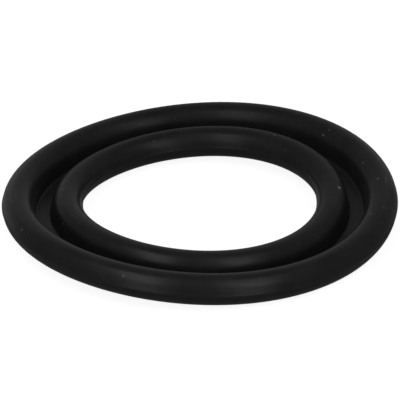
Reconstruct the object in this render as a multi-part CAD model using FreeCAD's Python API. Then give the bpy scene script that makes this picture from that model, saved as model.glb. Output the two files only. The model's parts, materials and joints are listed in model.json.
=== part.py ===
"""Moulded rubber sealing ring: two round beads joined by a low web, in millimetres.

The ring lies flat, with +Z up its axis and the origin at the centre of its underside.
The outer bead seals on the outside, the inner bead round the bore, and the deep
channel between them is open to the top. Both beads and the web are one moulding.
"""
import FreeCAD, Part
import math
import os

# Driving dimensions
outer_diameter = 66.0
bore_diameter = 38.8
outer_bead_diameter = 5.3
inner_bead_diameter = 5.1
web_thickness = 0.8
channel_fillet = 0.45
channel_draft = 4.0
# Trimmed flash, left standing on both rims where the two mould halves met
land_height = 0.5
land_proud = 0.1

# Beads: both touch the underside plane, and their equators carry the lands
outer_bead_radius = outer_bead_diameter / 2
inner_bead_radius = inner_bead_diameter / 2
outer_bead_centre = FreeCAD.Vector(outer_diameter / 2 - land_proud - outer_bead_radius, 0, outer_bead_radius)
inner_bead_centre = FreeCAD.Vector(bore_diameter / 2 + land_proud + inner_bead_radius, 0, inner_bead_radius)


def polar(radius, degrees):
    """Vector of a length and direction in the section plane, 0 outwards and 90 upwards."""
    angle = math.radians(degrees)
    return FreeCAD.Vector(radius * math.cos(angle), 0, radius * math.sin(angle))


def line(start, end):
    return Part.LineSegment(start, end).toShape()


def arc(centre, radius, start_degrees, end_degrees):
    middle_degrees = (start_degrees + end_degrees) / 2
    start = centre + polar(radius, start_degrees)
    middle = centre + polar(radius, middle_degrees)
    end = centre + polar(radius, end_degrees)
    return Part.Arc(start, middle, end).toShape()


def land(centre, bead_radius, face_radius, direction):
    """Three edges of the trimmed flash on a bead's equator, walked upwards or downwards."""
    half_height = direction * land_height / 2
    inward = math.sqrt(bead_radius ** 2 - half_height ** 2)
    root_radius = centre.x + direction * inward
    start_root = FreeCAD.Vector(root_radius, 0, centre.z - half_height)
    start_face = FreeCAD.Vector(face_radius, 0, centre.z - half_height)
    end_face = FreeCAD.Vector(face_radius, 0, centre.z + half_height)
    end_root = FreeCAD.Vector(root_radius, 0, centre.z + half_height)
    return [line(start_root, start_face), line(start_face, end_face), line(end_face, end_root)]


def wall_foot(centre, bead_radius, side):
    """Where the drafted channel wall leaves a bead, where it ends, and its fillet's centre.

    side is +1 for the wall that faces outwards, on the inner bead, and -1 for the other.
    """
    lean = math.radians(channel_draft)
    normal = FreeCAD.Vector(side * math.cos(lean), 0, math.sin(lean))
    down = FreeCAD.Vector(side * math.sin(lean), 0, -math.cos(lean))
    top = centre + normal * bead_radius
    drop = top.z + channel_fillet * math.sin(lean) - web_thickness - channel_fillet
    foot = top + down * (drop / math.cos(lean))
    return top, foot, foot + normal * channel_fillet


def seal_section():
    """Closed outline of the moulding, walked anticlockwise from the inner bead's lowest point."""
    outer_land_angle = math.degrees(math.asin(land_height / 2 / outer_bead_radius))
    inner_land_angle = math.degrees(math.asin(land_height / 2 / inner_bead_radius))
    outer_top, outer_foot, outer_corner = wall_foot(outer_bead_centre, outer_bead_radius, -1)
    inner_top, inner_foot, inner_corner = wall_foot(inner_bead_centre, inner_bead_radius, 1)

    underside = [line(inner_bead_centre + polar(inner_bead_radius, -90),
                      outer_bead_centre + polar(outer_bead_radius, -90))]
    outer_lower = [arc(outer_bead_centre, outer_bead_radius, -90, -outer_land_angle)]
    outer_land = land(outer_bead_centre, outer_bead_radius, outer_diameter / 2, 1)
    outer_crown = [arc(outer_bead_centre, outer_bead_radius, outer_land_angle, 180 - channel_draft)]
    channel = [
        line(outer_top, outer_foot),
        arc(outer_corner, channel_fillet, -channel_draft, -90),
        line(outer_corner + polar(channel_fillet, -90), inner_corner + polar(channel_fillet, -90)),
        arc(inner_corner, channel_fillet, 270, 180 + channel_draft),
        line(inner_foot, inner_top),
    ]
    inner_crown = [arc(inner_bead_centre, inner_bead_radius, channel_draft, 180 - inner_land_angle)]
    inner_land = land(inner_bead_centre, inner_bead_radius, bore_diameter / 2, -1)
    inner_lower = [arc(inner_bead_centre, inner_bead_radius, 180 + inner_land_angle, 270)]

    outline = (underside + outer_lower + outer_land + outer_crown
               + channel + inner_crown + inner_land + inner_lower)
    return Part.Face(Part.Wire(outline))


def sealing_ring():
    axis_point = FreeCAD.Vector(0, 0, 0)
    axis = FreeCAD.Vector(0, 0, 1)
    return seal_section().revolve(axis_point, axis, 360)


os.makedirs("parts", exist_ok=True)
ring = sealing_ring()
ring.exportStep("parts/seal_ring.step")
print("seal_ring", ring.ShapeType, "valid", ring.isValid(), "volume", round(ring.Volume, 3))
print("box", ring.BoundBox)
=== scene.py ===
"""Moulded rubber sealing ring, with its studio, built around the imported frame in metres.

The ring is one moulding: an outer and an inner round bead joined by a low web, with
a deep channel between them and a trimmed parting ridge on both rims.
"""
import json
import math

import bmesh
import bpy
from mathutils import Matrix, Quaternion, Vector


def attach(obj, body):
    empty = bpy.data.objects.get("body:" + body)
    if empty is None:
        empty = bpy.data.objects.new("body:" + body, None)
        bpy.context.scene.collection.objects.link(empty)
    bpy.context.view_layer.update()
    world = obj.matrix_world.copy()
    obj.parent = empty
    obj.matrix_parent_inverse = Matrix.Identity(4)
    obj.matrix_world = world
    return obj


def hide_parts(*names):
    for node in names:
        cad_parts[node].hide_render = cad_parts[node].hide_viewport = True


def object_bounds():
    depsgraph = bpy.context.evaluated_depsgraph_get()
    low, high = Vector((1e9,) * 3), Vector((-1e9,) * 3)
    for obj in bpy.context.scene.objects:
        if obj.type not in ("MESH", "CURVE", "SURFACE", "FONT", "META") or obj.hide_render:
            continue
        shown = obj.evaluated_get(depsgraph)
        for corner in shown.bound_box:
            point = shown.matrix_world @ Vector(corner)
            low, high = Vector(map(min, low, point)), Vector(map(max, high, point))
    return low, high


bl_info = {
    "name": "Moulded Sealing Ring",
    "version": (1, 0, 0),
    "blender": (4, 5, 0),
    "location": "View3D > Sidebar > Seal",
    "description": "Models a double-bead rubber sealing ring, its finish and its studio",
    "category": "Object",
}

MM = 0.001
# Points nearer to each other than this are taken as one
TOUCHING = 0.001 * MM
# Steps round the section's small roundings
CREST_STEPS = 6
RIDGE_FOOT_STEPS = 3
FILLET_STEPS = 8
# Sockets of a Mix node that mixes colours
COLOUR_A, COLOUR_B, COLOUR_RESULT = 6, 7, 2
# How strong each finer layer of a noise is against the one before it
NOISE_ROUGHNESS = 0.6

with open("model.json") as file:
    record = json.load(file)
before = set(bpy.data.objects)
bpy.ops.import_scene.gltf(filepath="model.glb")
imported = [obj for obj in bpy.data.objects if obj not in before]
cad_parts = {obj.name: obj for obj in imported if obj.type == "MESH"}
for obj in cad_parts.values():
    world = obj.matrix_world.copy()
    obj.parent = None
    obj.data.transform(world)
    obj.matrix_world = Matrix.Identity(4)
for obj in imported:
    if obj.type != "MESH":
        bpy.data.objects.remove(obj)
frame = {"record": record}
CAD_LOW, CAD_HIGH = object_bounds()
BORE_MOUNT = next(mount for mount in frame["record"]["mounts"] if mount["name"] == "bore")
OUTER_RADIUS = CAD_HIGH.x
OUTER_BEAD_RADIUS = (CAD_HIGH.z - CAD_LOW.z) / 2
BORE_RADIUS = BORE_MOUNT["dims"]["r_mm"] * MM
# The bore is measured at the middle of the inner bead, which stands on the floor too
INNER_BEAD_RADIUS = BORE_MOUNT["pos_m"][2]


class RingShape(bpy.types.PropertyGroup):
    """Sizes of the moulding that the frame doesn't give."""

    web_thickness: bpy.props.FloatProperty(
        name="Web Thickness", description="Thickness of the web under the channel",
        default=0.8 * MM, min=0.2 * MM, subtype="DISTANCE", unit="LENGTH")
    channel_draft: bpy.props.FloatProperty(
        name="Channel Draft", description="Lean of the channel's two walls",
        default=math.radians(4.0), min=0.0, subtype="ANGLE", unit="ROTATION")
    channel_fillet: bpy.props.FloatProperty(
        name="Channel Fillet", description="Radius where the walls meet the channel's floor",
        default=0.45 * MM, min=0.05 * MM, subtype="DISTANCE", unit="LENGTH")
    ridge_height: bpy.props.FloatProperty(
        name="Ridge Height", description="Height of the trimmed parting ridge on both rims",
        default=0.5 * MM, min=0.1 * MM, subtype="DISTANCE", unit="LENGTH")
    ridge_proud: bpy.props.FloatProperty(
        name="Ridge Proud", description="How far the parting ridge stands out of its bead",
        default=0.1 * MM, min=0.01 * MM, subtype="DISTANCE", unit="LENGTH")
    ridge_rounding: bpy.props.FloatProperty(
        name="Ridge Rounding", description="Radius of the parting ridge's worn crest",
        default=0.2 * MM, min=0.01 * MM, subtype="DISTANCE", unit="LENGTH")
    warp_share: bpy.props.FloatProperty(
        name="Warp Share",
        description="Rise and fall of the relaxed ring's saddle, as a share of its radius",
        default=0.0268, min=0.0, max=0.1, subtype="FACTOR")
    warp_turn: bpy.props.FloatProperty(
        name="Warp Turn", description="Direction in which the saddle is level and starts to rise",
        default=math.radians(1.4), subtype="ANGLE", unit="ROTATION")
    bead_points: bpy.props.IntProperty(
        name="Bead Points", description="Points round one whole bead's section",
        default=88, min=24, max=160)
    turn_steps: bpy.props.IntProperty(
        name="Turn Steps", description="Steps of the section's turn round the axis",
        default=480, min=48, max=720)


class RubberLook(bpy.types.PropertyGroup):
    """Colours and finish of the moulded rubber."""

    rubber: bpy.props.FloatVectorProperty(
        name="Rubber", description="Colour of the clean rubber",
        default=(0.0220, 0.0223, 0.0220), min=0.0, max=1.0, subtype="COLOR")
    # This colour is also used for a painted sheen of grazing light on the far outer shoulder
    dust: bpy.props.FloatVectorProperty(
        name="Dust", description="Colour of the dust that lies on the ring",
        default=(0.74, 0.75, 0.71), min=0.0, max=1.0, subtype="COLOR")
    satin: bpy.props.FloatProperty(
        name="Satin Roughness", description="Mean roughness of the satin surface",
        default=0.36, min=0.0, max=1.0, subtype="FACTOR")
    satin_strength: bpy.props.FloatProperty(
        name="Satin Strength", description="How strongly the satin surface mirrors",
        default=0.25, min=0.0, max=1.0, subtype="FACTOR")
    polish_roughness: bpy.props.FloatProperty(
        name="Polish Roughness", description="Roughness of the smoother skin over the satin",
        default=0.24, min=0.0, max=1.0, subtype="FACTOR")
    near_polish: bpy.props.FloatProperty(
        name="Near Polish", description="Share of smoother skin on the ring's near side",
        default=0.55, min=0.0, max=1.0, subtype="FACTOR")
    far_polish: bpy.props.FloatProperty(
        name="Far Polish", description="Share of smoother skin on the ring's far side",
        default=0.15, min=0.0, max=1.0, subtype="FACTOR")


class StudioLook(bpy.types.PropertyGroup):
    """Floor and surroundings of the picture."""

    floor: bpy.props.FloatVectorProperty(
        name="Floor", description="Colour of the pale floor",
        default=(0.80, 0.80, 0.80), min=0.0, max=1.0, subtype="COLOR")
    floor_glow: bpy.props.FloatProperty(
        name="Floor Glow",
        description="Light that the floor gives off, as an evenly lit white table does",
        default=0.9, min=0.0)
    surroundings: bpy.props.FloatProperty(
        name="Surroundings", description="Brightness of the soft surroundings",
        default=0.084, min=0.0)
    lamp_share: bpy.props.FloatProperty(
        name="Lamp Share", description="Strength of all the lamps together",
        default=1.0, min=0.0)


class Value:
    """A number that varies over a surface: a socket that takes part in sums."""

    def __init__(self, tree, socket):
        self.tree = tree
        self.socket = socket

    def reckon(self, operation, *terms):
        node = self.tree.nodes.new("ShaderNodeMath")
        node.operation = operation
        for place, term in enumerate(terms):
            feed(self.tree, node.inputs[place], term)
        return Value(self.tree, node.outputs[0])

    def __add__(self, other):
        return self.reckon("ADD", self, other)

    def __radd__(self, other):
        return self.reckon("ADD", other, self)

    def __sub__(self, other):
        return self.reckon("SUBTRACT", self, other)

    def __rsub__(self, other):
        return self.reckon("SUBTRACT", other, self)

    def __mul__(self, other):
        return self.reckon("MULTIPLY", self, other)

    def __rmul__(self, other):
        return self.reckon("MULTIPLY", other, self)

    def __truediv__(self, other):
        return self.reckon("DIVIDE", self, other)

    def root(self):
        return self.reckon("SQRT", self)

    def at_most(self, other):
        return self.reckon("MINIMUM", self, other)

    def at_least(self, other):
        return self.reckon("MAXIMUM", self, other)

    def clamped(self):
        return self.at_least(0.0).at_most(1.0)

    def ramp(self, start, end):
        """Goes evenly from 0 at the start to 1 at the end, and changes no more outside them."""
        return ((self - start) * (1 / (end - start))).clamped()

    def sibling(self, output):
        """Another output of the node that gives this value."""
        return Value(self.tree, self.socket.node.outputs[output])


def feed(tree, socket, term):
    """Gives a socket a link or a plain value."""
    if isinstance(term, Value):
        tree.links.new(term.socket, socket)
    else:
        socket.default_value = term


class Finish:
    """A material and the one way its nodes are added."""

    def __init__(self, name):
        self.material = bpy.data.materials.new(name)
        self.material.use_nodes = True
        self.tree = self.material.node_tree
        self.shader = self.tree.nodes["Principled BSDF"]

    def node(self, kind, settings=None, sockets=None, output=0):
        """Adds a node: its settings first, then its sockets' values and links."""
        made = self.tree.nodes.new(kind)
        for name, setting in (settings or {}).items():
            setattr(made, name, setting)
        for name, term in (sockets or {}).items():
            feed(self.tree, made.inputs[name], term)
        return Value(self.tree, made.outputs[output])

    def axes(self, vector):
        """The three parts of a vector."""
        parts = self.node("ShaderNodeSeparateXYZ", {}, {"Vector": vector})
        return [Value(self.tree, socket) for socket in parts.socket.node.outputs]

    def gather(self, x, y, z):
        return self.node("ShaderNodeCombineXYZ", {}, {"X": x, "Y": y, "Z": z})

    def noise(self, vector, scale, detail, fourth=0.0):
        """Smooth noise from 0 to 1, a half in the mean, over a vector and a fourth coordinate."""
        return self.node("ShaderNodeTexNoise", {"noise_dimensions": "4D"},
                         {"Vector": vector, "W": fourth, "Scale": scale, "Detail": detail,
                          "Roughness": NOISE_ROUGHNESS})

    def mix_colours(self, share, first, second):
        """The first colour where the share is 0 and the second where it is 1."""
        return self.node("ShaderNodeMix", {"data_type": "RGBA"},
                         {"Factor": share, COLOUR_A: first, COLOUR_B: second}, COLOUR_RESULT)

    def set(self, **sockets):
        """Sets the shader's sockets, named with _ for a space."""
        for name, term in sockets.items():
            feed(self.tree, self.shader.inputs[name.replace("_", " ")], term)


def select_only(*objects):
    bpy.ops.object.select_all(action="DESELECT")
    for item in objects:
        item.select_set(True)
    bpy.context.view_layer.objects.active = objects[0]


def select_points(test):
    """Selects the edited mesh's points that pass a test of their place; returns how many do."""
    mesh = bmesh.from_edit_mesh(bpy.context.edit_object.data)
    for point in mesh.verts:
        point.select_set(test(point.co))
    mesh.select_flush_mode()
    bmesh.update_edit_mesh(bpy.context.edit_object.data)
    return sum(point.select for point in mesh.verts)


def near(place, target):
    return (place - target).length < TOUCHING


def join_points(first, second):
    """Draws the edge between two points of the edited section."""
    if select_points(lambda place: near(place, first) or near(place, second)) != 2:
        raise RuntimeError("a section edge does not find its two points")
    bpy.ops.mesh.edge_face_add()


def extrude_point(start, end):
    """Draws an edge from a point of the edited section to a new point."""
    if select_points(lambda place: near(place, start)) != 1:
        raise RuntimeError("a section point is missing")
    bpy.ops.mesh.extrude_region_move(TRANSFORM_OT_translate={"value": end - start})


def round_corner(corner, radius, turn, steps):
    """Rounds a corner of the edited section, where its edges turn by an angle."""
    if select_points(lambda place: near(place, corner)) != 1:
        raise RuntimeError("a section corner is missing")
    reach = radius * math.tan(turn / 2)
    bpy.ops.mesh.bevel(offset=reach, segments=steps, affect="VERTICES")


class Bead:
    """One of the ring's two round beads, as its section stands in the XZ plane.

    Its rim carries the parting ridge and faces outwards (1) or into the bore (-1), and
    its other side is the channel's.
    """

    def __init__(self, name, radius, rim_radius, rim_side, shape):
        self.name = name
        self.radius = radius
        self.rim_radius = rim_radius
        self.rim_side = rim_side
        self.centre = Vector((rim_radius - rim_side * (radius + shape.ridge_proud), 0, radius))
        self.lowest = Vector((self.centre.x, 0, 0))
        self.ridge_low = radius - shape.ridge_height / 2
        self.ridge_high = radius + shape.ridge_height / 2
        self.wall_top = radius * (1 + math.sin(shape.channel_draft))

    def holds(self, place):
        return abs(place.x - self.centre.x) < self.radius + TOUCHING

    def beside(self, place, side):
        """How far a point of the bead lies to one side of its middle."""
        return (place.x - self.centre.x) * side if self.holds(place) else -1


def both_beads(shape):
    return (Bead("outer_bead", OUTER_BEAD_RADIUS, OUTER_RADIUS, 1, shape),
            Bead("inner_bead", INNER_BEAD_RADIUS, BORE_RADIUS, -1, shape))


def add_bead(bead, points):
    """Adds a bead's round section, cut where its ridge and its channel wall begin."""
    bpy.ops.object.select_all(action="DESELECT")
    bpy.ops.mesh.primitive_circle_add(
        vertices=points, radius=bead.radius, location=bead.centre, rotation=(math.pi / 2, 0, 0))
    bpy.ops.object.transform_apply(location=True, rotation=True, scale=True)
    section = bpy.context.object
    section.name = bead.name
    bpy.ops.object.mode_set(mode="EDIT")
    bpy.ops.mesh.select_mode(type="VERT")
    for height in (bead.ridge_low, bead.ridge_high, bead.wall_top):
        bpy.ops.mesh.select_all(action="SELECT")
        bpy.ops.mesh.bisect(plane_co=(0, 0, height), plane_no=(0, 0, 1), threshold=TOUCHING)
    bpy.ops.object.mode_set(mode="OBJECT")
    return section


def bead_point(bead, side, height):
    """The point of the edited section that lies on one side of a bead at a height."""
    mesh = bmesh.from_edit_mesh(bpy.context.edit_object.data)
    row = [point.co.copy() for point in mesh.verts
           if abs(point.co.z - height) < TOUCHING and bead.beside(point.co, side) > 0]
    return max(row, key=lambda place: place.x * side)


def shape_ridge(bead, shape):
    """Turns a band of a bead's rim into the trimmed parting ridge, a low rounded roof."""
    foot_low = bead_point(bead, bead.rim_side, bead.ridge_low)
    foot_high = bead_point(bead, bead.rim_side, bead.ridge_high)
    select_points(lambda place: bead.ridge_low + TOUCHING < place.z < bead.ridge_high - TOUCHING
                  and bead.beside(place, bead.rim_side) > 0)
    bpy.ops.mesh.delete(type="VERT")
    crest = Vector((bead.rim_radius, 0, bead.radius))
    extrude_point(foot_low, crest)
    join_points(crest, foot_high)
    slope = math.atan2(abs(crest.x - foot_high.x), shape.ridge_height / 2)
    round_corner(crest, shape.ridge_rounding, 2 * slope, CREST_STEPS)
    for foot in (foot_low, foot_high):
        round_corner(foot, shape.ridge_rounding / 2, slope, RIDGE_FOOT_STEPS)


def shape_channel(beads, shape):
    """Draws the channel's drafted walls, its floor and its two fillets."""
    lean = shape.channel_draft
    feet = []
    for bead in beads:
        channel_side = -bead.rim_side
        select_points(lambda place: bead.beside(place, channel_side) > TOUCHING
                      and place.z < bead.wall_top - TOUCHING)
        bpy.ops.mesh.delete(type="VERT")
        top = bead_point(bead, channel_side, bead.wall_top)
        drop = top.z - shape.web_thickness
        foot = Vector((top.x + channel_side * drop * math.tan(lean), 0, shape.web_thickness))
        extrude_point(top, foot)
        feet.append(foot)
    join_points(*feet)
    for foot in feet:
        round_corner(foot, shape.channel_fillet, math.pi / 2 - lean, FILLET_STEPS)


def draw_section(shape):
    """Draws the moulding's whole section as one closed outline; returns its object."""
    beads = both_beads(shape)
    select_only(*[add_bead(bead, shape.bead_points) for bead in beads])
    bpy.ops.object.join()
    ring = bpy.context.object
    ring.name = "seal_ring_moulding"
    bpy.ops.object.mode_set(mode="EDIT")
    shape_channel(beads, shape)
    join_points(beads[0].lowest, beads[1].lowest)
    for bead in beads:
        shape_ridge(bead, shape)
    bpy.ops.object.mode_set(mode="OBJECT")
    return ring


def spin_section(ring, steps):
    """Turns the section once round the axis and closes the seam."""
    select_only(ring)
    bpy.ops.object.mode_set(mode="EDIT")
    bpy.ops.mesh.select_all(action="SELECT")
    bpy.ops.mesh.spin(steps=steps, angle=2 * math.pi, center=(0, 0, 0), axis=(0, 0, 1))
    bpy.ops.mesh.select_all(action="SELECT")
    bpy.ops.mesh.remove_doubles(threshold=TOUCHING)
    bpy.ops.mesh.normals_make_consistent(inside=False)
    bpy.ops.object.mode_set(mode="OBJECT")
    bpy.ops.object.shade_smooth()


def warp(shape, x, y):
    """Rise or fall of the relaxed rubber against the flat moulding: a low saddle."""
    angle = math.atan2(y, x)
    return shape.warp_share * math.hypot(x, y) * math.sin(2 * (angle - shape.warp_turn))


def rest_height(shape):
    """Lift that sets the saddle's two lowest places on the floor."""
    outer = both_beads(shape)[0]
    tilt = math.sqrt(1 + shape.warp_share ** 2)
    return outer.centre.x * shape.warp_share + outer.radius * (tilt - 1)


def relax_into_saddle(ring, shape):
    """Warps the ring slightly, as relaxed rubber lies, and rests its outer bead on two places."""
    lift = rest_height(shape)
    moulded_height = ring.data.attributes.new("moulded_height", "FLOAT", "POINT")
    for index, point in enumerate(ring.data.vertices):
        moulded_height.data[index].value = point.co.z / MM
        point.co.z += lift + warp(shape, point.co.x, point.co.y)


def on_bead(shape, bead, ring_degrees, section_degrees):
    """A point of a bead's surface, in metres: 0 degrees is outwards in the section, 90 is up."""
    around = math.radians(ring_degrees)
    across = math.radians(section_degrees)
    radius = bead.centre.x + bead.radius * math.cos(across)
    x = radius * math.cos(around)
    y = radius * math.sin(around)
    height = bead.radius * (1 + math.sin(across))
    return Vector((x, y, height + rest_height(shape) + warp(shape, x, y)))


# Patterns of the finish, in repeats per metre
BLOTCHES_PER_METRE = 160.0
GRAINS_PER_METRE = 3600.0
MOTTLES_PER_METRE = 3000.0
DUST_CELLS_PER_METRE = 2000.0
DUST_PATCHES_PER_METRE = 90.0
SPECK_EDGES_PER_METRE = 5200.0
# The mould's marks are long round the ring and narrow across it
MARKS_PER_RADIAN = 2.4
MARKS_PER_MM = 2.6
# Fourth coordinates that only pick another noise
PATCH_NOISE = 3.0
MOTTLE_NOISE = 5.0
# Where dust thickens, from its start to its full amount, in millimetres
FLANK_INSIDE_RIM = (3.0, 1.0)
FLANK_HEIGHT = (2.4, 3.6)
FAR_HALF_Y = (-16.0, 0.0)
FAR_SHOULDER_Y = (0.0, 12.0)
# Between which values each noise or cell turns into what lies on the rubber
PATCH_RANGE = (0.32, 0.57)
MOTTLE_RANGE = (0.52, 0.687)
BLOOM_RANGE = (0.3, 1.3)
GRAIN_HOLDER_RANGE = (0.74, 0.907)
GRAIN_EDGE_RANGE = (0.34, 0.215)
# Shares of dust: on the near half, what the far half and the outer flank add, and in the thin
# films; on the flank the dust, haze and mottle are partly a painted sheen of grazing light
NEAR_DUST = 0.01
FAR_DUST = 0.03
FLANK_DUST_AND_SHEEN = 0.45
HAZE_AND_SHEEN_SHARE = 0.03
MOTTLE_AND_SHEEN_SHARE = 0.14
BLOOM_SHARE = 0.07
MARKS_IN_BLOOM = 0.15
# Heights of the relief as shares of the bump's distance
GRAIN_RELIEF = 0.5
MARKS_RELIEF = 0.25
DUST_RELIEF = 3.0
MOTTLE_RELIEF = 1.5
BUMP_STRENGTH = 0.5
BUMP_DISTANCE = 0.02 * MM
# How much the marks and blotches change the roughness and the polish, and dust the roughness
UNEVENNESS = 0.10
POLISH_SWING = 2.0
DUST_ROUGHNESS = 0.4
# Edges of the dust specks, in millimetres
SPECK_RAGGEDNESS = 0.16
SPECK_EDGE = 1 / 7

OUTER, INNER = 0, 1
DUST_SPECKS = (
    # bead, degrees round the ring, degrees round the bead's section, radius in mm, lightness
    (INNER, 1.6, 62.0, 0.29, 0.95),
    (OUTER, 42.4, 140.0, 0.24, 0.36),
    (OUTER, 41.4, 113.0, 0.25, 0.15),
    (OUTER, 17.6, 126.0, 0.26, 0.22),
    (OUTER, 5.0, 100.0, 0.32, 0.25),
    (OUTER, 342.8, 104.0, 0.26, 0.20),
    (OUTER, 204.0, 41.0, 0.26, 0.22),
    (OUTER, 110.4, 145.0, 0.24, 0.06),
    (OUTER, 246.8, 40.0, 0.30, 0.15),
    (INNER, 55.0, 90.0, 0.22, 0.35),
    (INNER, 48.4, 77.0, 0.22, 0.22),
    (INNER, 176.8, 75.0, 0.25, 0.26),
    (INNER, 201.6, 19.0, 0.22, 0.32),
    (INNER, 111.6, 125.0, 0.24, 0.08),
    (INNER, 44.2, 137.0, 0.20, 0.07),
    (INNER, 20.0, 163.0, 0.22, 0.20),
)


class RingPlace:
    """Where on the ring a shaded point lies, in millimetres, and which way is outwards there."""

    def __init__(self, finish):
        self.point = finish.node("ShaderNodeTexCoord", output="Object")
        x, y = finish.axes(self.point)[:2]
        reach = (x * x + y * y).root()
        self.outward_x = x / reach
        self.outward_y = y / reach
        self.radius = reach / MM
        self.along_y = y / MM
        self.height = finish.node(
            "ShaderNodeAttribute", {"attribute_name": "moulded_height"}, {}, "Fac")


def mould_marks(finish, place):
    """Marks left by the mould's turned walls."""
    along = finish.gather(place.outward_x * MARKS_PER_RADIAN, place.outward_y * MARKS_PER_RADIAN,
                          place.radius * MARKS_PER_MM)
    return finish.noise(along, scale=1.0, detail=3.0, fourth=place.height * MARKS_PER_MM)


def dust_grains(finish, place):
    """Fine grains of dust: a few of many small cells hold one in their middle."""
    cells = finish.node("ShaderNodeTexVoronoi", {"voronoi_dimensions": "3D"},
                        {"Vector": place.point, "Scale": DUST_CELLS_PER_METRE}, "Distance")
    cell_shade = finish.axes(cells.sibling("Color"))[0]
    return cells.ramp(*GRAIN_EDGE_RANGE) * cell_shade.ramp(*GRAIN_HOLDER_RANGE)


def speck_mask(finish, shape, place):
    """How much of a dust speck each place holds: small ragged spots, set out on the beads."""
    edge_noise = finish.noise(place.point, SPECK_EDGES_PER_METRE, detail=1.0)
    ragged = (edge_noise - 0.5) * SPECK_RAGGEDNESS
    beads = both_beads(shape)
    mask = 0.0
    for which, ring_degrees, section_degrees, radius, lightness in DUST_SPECKS:
        middle = on_bead(shape, beads[which], ring_degrees, section_degrees)
        away = finish.node("ShaderNodeVectorMath", {"operation": "DISTANCE"},
                           {0: place.point, 1: middle}, "Value")
        spot = (away / MM - ragged).ramp(radius, radius - SPECK_EDGE) * lightness
        mask = spot.at_least(mask)
    return mask


def rubber_finish(shape, look):
    """Black moulded rubber: satin under a smoother skin, with fine grain, faint marks, dust and a
    painted sheen.
    """
    finish = Finish("black_moulded_rubber")
    place = RingPlace(finish)
    marks = mould_marks(finish, place)
    blotches = finish.noise(place.point, BLOTCHES_PER_METRE, detail=3.0)
    grain = finish.noise(place.point, GRAINS_PER_METRE, detail=2.0)

    # Dust lies in patches, most of it on the upper side of the outer flank on the far half, where
    # it is partly dust and partly a painted sheen of grazing light
    far_half = place.along_y.ramp(*FAR_HALF_Y)
    inside_rim = OUTER_RADIUS / MM - place.radius
    flank_dust_and_sheen = inside_rim.ramp(*FLANK_INSIDE_RIM) * place.height.ramp(*FLANK_HEIGHT) * far_half
    patch_noise = finish.noise(place.point, DUST_PATCHES_PER_METRE, detail=2.0, fourth=PATCH_NOISE)
    patches = patch_noise.ramp(*PATCH_RANGE)
    amount = NEAR_DUST + FAR_DUST * far_half + FLANK_DUST_AND_SHEEN * flank_dust_and_sheen
    fine_dust_and_sheen = dust_grains(finish, place) * patches * amount
    # Besides the specks, this mask holds fine dust that on the far outer shoulder is partly a
    # painted sheen
    dust = speck_mask(finish, shape, place).at_least(fine_dust_and_sheen)

    # On the far shoulder the thin haze of dust thickens into a fine mottle; haze and mottle are
    # partly dust and partly a painted sheen of grazing light
    shoulder_dust_and_sheen = flank_dust_and_sheen * place.along_y.ramp(*FAR_SHOULDER_Y)
    mottle_noise = finish.noise(place.point, MOTTLES_PER_METRE, detail=1.0, fourth=MOTTLE_NOISE)
    mottle_and_sheen = mottle_noise.ramp(*MOTTLE_RANGE) * shoulder_dust_and_sheen
    clouds = MARKS_IN_BLOOM * marks + (1 - MARKS_IN_BLOOM) * blotches
    # The haze and the mottle are partly a painted sheen of grazing light; the bloom is the rubber's
    # own uneven tone
    film_and_sheen = (BLOOM_SHARE * clouds.ramp(*BLOOM_RANGE) + HAZE_AND_SHEEN_SHARE * flank_dust_and_sheen * patches
            + MOTTLE_AND_SHEEN_SHARE * mottle_and_sheen)
    # The dust colour paints the specks and the fine dust, and also the painted sheen on the far
    # outer shoulder
    dust_and_sheen_colour = (*look.dust, 1.0)
    rubber_with_film_and_sheen = finish.mix_colours(film_and_sheen, (*look.rubber, 1.0), dust_and_sheen_colour)
    colour = finish.mix_colours(dust, rubber_with_film_and_sheen, dust_and_sheen_colour)

    # The near side is more polished than the far side, and dust dulls it
    uneven = (marks + blotches - 1.0) * UNEVENNESS
    nearness = place.along_y.ramp(OUTER_RADIUS / MM, -OUTER_RADIUS / MM)
    even_polish = look.far_polish + (look.near_polish - look.far_polish) * nearness
    polish = (even_polish - POLISH_SWING * uneven) * (1.0 - dust)
    roughness = look.satin + uneven + DUST_ROUGHNESS * dust

    relief = (GRAIN_RELIEF * grain + MARKS_RELIEF * marks + DUST_RELIEF * dust
              + MOTTLE_RELIEF * mottle_and_sheen)
    bump = finish.node("ShaderNodeBump", {},
                       {"Height": relief, "Strength": BUMP_STRENGTH, "Distance": BUMP_DISTANCE})
    finish.set(Base_Color=colour, Roughness=roughness.clamped(),
               Specular_IOR_Level=look.satin_strength, Coat_Weight=polish.clamped(),
               Coat_Roughness=look.polish_roughness, Normal=bump)
    return finish.material


class SEALRING_OT_moulding(bpy.types.Operator):
    """Models the ring from its section and gives it the rubber finish"""

    bl_idname = "sealring.moulding"
    bl_label = "Sealing Ring Moulding"
    bl_options = {"REGISTER", "UNDO"}

    def execute(self, context):
        shape = context.scene.sealring_shape
        ring = draw_section(shape)
        spin_section(ring, shape.turn_steps)
        relax_into_saddle(ring, shape)
        ring.data.materials.append(rubber_finish(shape, context.scene.sealring_rubber))
        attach(ring, "root")
        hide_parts("seal_ring")
        return {"FINISHED"}


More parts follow.
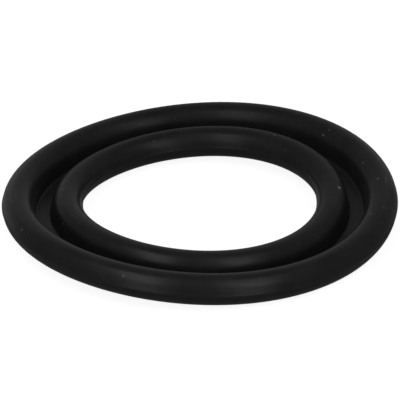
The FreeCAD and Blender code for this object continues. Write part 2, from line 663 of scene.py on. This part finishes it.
LAMPS = (
    # name, azimuth and elevation of its middle, width, height and lean, all in degrees, brightness
    ("left_strip", 215.0, 45.0, 18.0, 36.0, 15.0, 0.90),
    ("right_strip", 141.5, 45.0, 17.0, 36.0, -15.0, 0.95),
    ("left_strip_foot", 211.0, 0.0, 18.0, 50.0, 0.0, 0.44),
    ("right_strip_foot", 152.0, 0.0, 18.0, 50.0, 0.0, 0.46),
    ("left_high", 240.0, 69.0, 18.0, 14.0, 0.0, 1.10),
    ("right_high", 108.0, 69.0, 16.0, 14.0, 0.0, 0.66),
    ("left_side", 255.0, 45.0, 30.0, 30.0, 0.0, 0.05),
    ("back_wide", 345.0, -5.0, 80.0, 34.0, 0.0, 0.09),
    ("back_low", 0.0, 24.0, 60.0, 40.0, 0.0, 0.06),
)
LAMP_DISTANCE = 0.6
# The floor's rim bends up into a wall
FLOOR_RADIUS = 12.0
FLOOR_BEND = FLOOR_RADIUS / 3
FLOOR_POINTS = 96
FLOOR_BEND_STEPS = 12
# How far the camera sees, past the floor's wall
VIEW_REACH = 4 * FLOOR_RADIUS
# The photograph's frame and how the ring lies in it, in pixels
FRAME_PIXELS = 400
RADIUS_PIXELS = 198.3
CENTRE_COLUMN = 199.3
CENTRE_ROW = 202.15
MIDDLE_PIXEL = 199.5
CAMERA_ELEVATION = math.radians(28.0)
CAMERA_ROLL = math.radians(-0.73)
CAMERA_RADII = 60.0
SENSOR_MM = 36.0


def add_lamp(name, azimuth, elevation, width, height, lean, brightness):
    """Adds a soft lamp that faces the ring. Azimuth 0 is behind the ring and 180 in front of it."""
    turn = math.radians(azimuth)
    rise = math.radians(elevation)
    level = math.cos(rise)
    towards = Vector((math.sin(turn) * level, math.cos(turn) * level, math.sin(rise)))
    facing = towards.to_track_quat("Z", "Y") @ Quaternion((0, 0, 1), math.radians(lean))
    bpy.ops.object.light_add(
        type="AREA", location=towards * LAMP_DISTANCE, rotation=facing.to_euler())
    lamp = bpy.context.object
    lamp.name = name
    lamp.data.shape = "RECTANGLE"
    lamp.data.size = 2 * LAMP_DISTANCE * math.tan(math.radians(width) / 2)
    lamp.data.size_y = 2 * LAMP_DISTANCE * math.tan(math.radians(height) / 2)
    lamp.data.energy = brightness * math.pi * lamp.data.size * lamp.data.size_y
    lamp.visible_camera = False


def add_camera(shape):
    """Adds the camera at the photograph's viewing angle."""
    forward = Vector((0, math.cos(CAMERA_ELEVATION), -math.sin(CAMERA_ELEVATION)))
    level = Vector((1, 0, 0))
    upward = Vector((0, math.sin(CAMERA_ELEVATION), math.cos(CAMERA_ELEVATION)))
    right = math.cos(CAMERA_ROLL) * level + math.sin(CAMERA_ROLL) * upward
    up = math.cos(CAMERA_ROLL) * upward - math.sin(CAMERA_ROLL) * level
    turned = Matrix((right, up, -forward)).transposed()
    aim = Vector((0, 0, OUTER_BEAD_RADIUS + rest_height(shape)))
    bpy.ops.object.camera_add(
        location=aim - forward * CAMERA_RADII * OUTER_RADIUS, rotation=turned.to_euler())
    camera = bpy.context.object
    camera.name = "photo_camera"
    camera.data.sensor_width = SENSOR_MM
    camera.data.lens = RADIUS_PIXELS * CAMERA_RADII * SENSOR_MM / FRAME_PIXELS
    camera.data.shift_x = (MIDDLE_PIXEL - CENTRE_COLUMN) / FRAME_PIXELS
    camera.data.shift_y = (CENTRE_ROW - MIDDLE_PIXEL) / FRAME_PIXELS
    camera.data.clip_end = VIEW_REACH
    bpy.context.scene.camera = camera


def add_floor(look):
    """Adds the plain pale floor, a round sheet that curves up into a wall far from the ring."""
    bpy.ops.object.select_all(action="DESELECT")
    bpy.ops.mesh.primitive_circle_add(vertices=FLOOR_POINTS, radius=FLOOR_RADIUS, fill_type="NGON")
    floor = bpy.context.object
    floor.name = "pale_floor"
    bpy.ops.object.mode_set(mode="EDIT")
    bpy.ops.mesh.select_mode(type="EDGE")
    bpy.ops.mesh.select_all(action="SELECT")
    bpy.ops.mesh.extrude_edges_move(TRANSFORM_OT_translate={"value": (0, 0, FLOOR_RADIUS)})
    bpy.ops.mesh.select_all(action="DESELECT")
    mesh = bmesh.from_edit_mesh(floor.data)
    for edge in mesh.edges:
        edge.select_set(all(abs(point.co.z) < TOUCHING for point in edge.verts))
    bmesh.update_edit_mesh(floor.data)
    bpy.ops.mesh.bevel(offset=FLOOR_BEND, segments=FLOOR_BEND_STEPS, affect="EDGES")
    bpy.ops.mesh.select_all(action="SELECT")
    bpy.ops.mesh.normals_make_consistent(inside=True)
    bpy.ops.object.mode_set(mode="OBJECT")
    bpy.ops.object.shade_smooth()
    finish = Finish("pale_floor_paint")
    finish.set(Base_Color=(*look.floor, 1.0), Roughness=1.0, Specular_IOR_Level=0.0,
               Emission_Color=(1.0, 1.0, 1.0, 1.0), Emission_Strength=look.floor_glow)
    floor.data.materials.append(finish.material)
    # Only the camera sees the floor: the ring mirrors the even surroundings and the lamps instead
    floor.visible_glossy = False
    floor.visible_diffuse = False
    floor.visible_shadow = False


class SEALRING_OT_studio(bpy.types.Operator):
    """Adds the pale floor, the soft lamps, the surroundings and the camera"""

    bl_idname = "sealring.studio"
    bl_label = "Studio"
    bl_options = {"REGISTER", "UNDO"}

    def execute(self, context):
        look = context.scene.sealring_studio
        add_floor(look)
        for *place, brightness in LAMPS:
            bpy.ops.object.select_all(action="DESELECT")
            add_lamp(*place, brightness * look.lamp_share)
        world = bpy.data.worlds.new("soft_surroundings")
        world.use_nodes = True
        sky = world.node_tree.nodes["Background"]
        sky.inputs["Color"].default_value = (1.0, 1.0, 1.0, 1.0)
        sky.inputs["Strength"].default_value = look.surroundings
        context.scene.world = world
        context.scene.view_settings.view_transform = "Standard"
        add_camera(context.scene.sealring_shape)
        return {"FINISHED"}


class SEALRING_PT_build(bpy.types.Panel):
    """Lists the ring's sizes and finish and the operators that build it"""

    bl_idname = "SEALRING_PT_build"
    bl_label = "Sealing Ring"
    bl_space_type = "VIEW_3D"
    bl_region_type = "UI"
    bl_category = "Seal"

    def draw(self, context):
        layout = self.layout
        for group in (context.scene.sealring_shape, context.scene.sealring_rubber,
                      context.scene.sealring_studio):
            box = layout.box()
            for name in group.__annotations__:
                box.prop(group, name)
        layout.operator(SEALRING_OT_moulding.bl_idname)
        layout.operator(SEALRING_OT_studio.bl_idname)


CLASSES = (RingShape, RubberLook, StudioLook,
           SEALRING_OT_moulding, SEALRING_OT_studio, SEALRING_PT_build)


def register():
    for item in CLASSES:
        bpy.utils.register_class(item)
    bpy.types.Scene.sealring_shape = bpy.props.PointerProperty(type=RingShape)
    bpy.types.Scene.sealring_rubber = bpy.props.PointerProperty(type=RubberLook)
    bpy.types.Scene.sealring_studio = bpy.props.PointerProperty(type=StudioLook)


def unregister():
    del bpy.types.Scene.sealring_studio
    del bpy.types.Scene.sealring_rubber
    del bpy.types.Scene.sealring_shape
    for item in reversed(CLASSES):
        bpy.utils.unregister_class(item)


def main():
    register()
    bpy.ops.sealring.moulding()
    bpy.ops.sealring.studio()


if __name__ == "__main__":
    main()
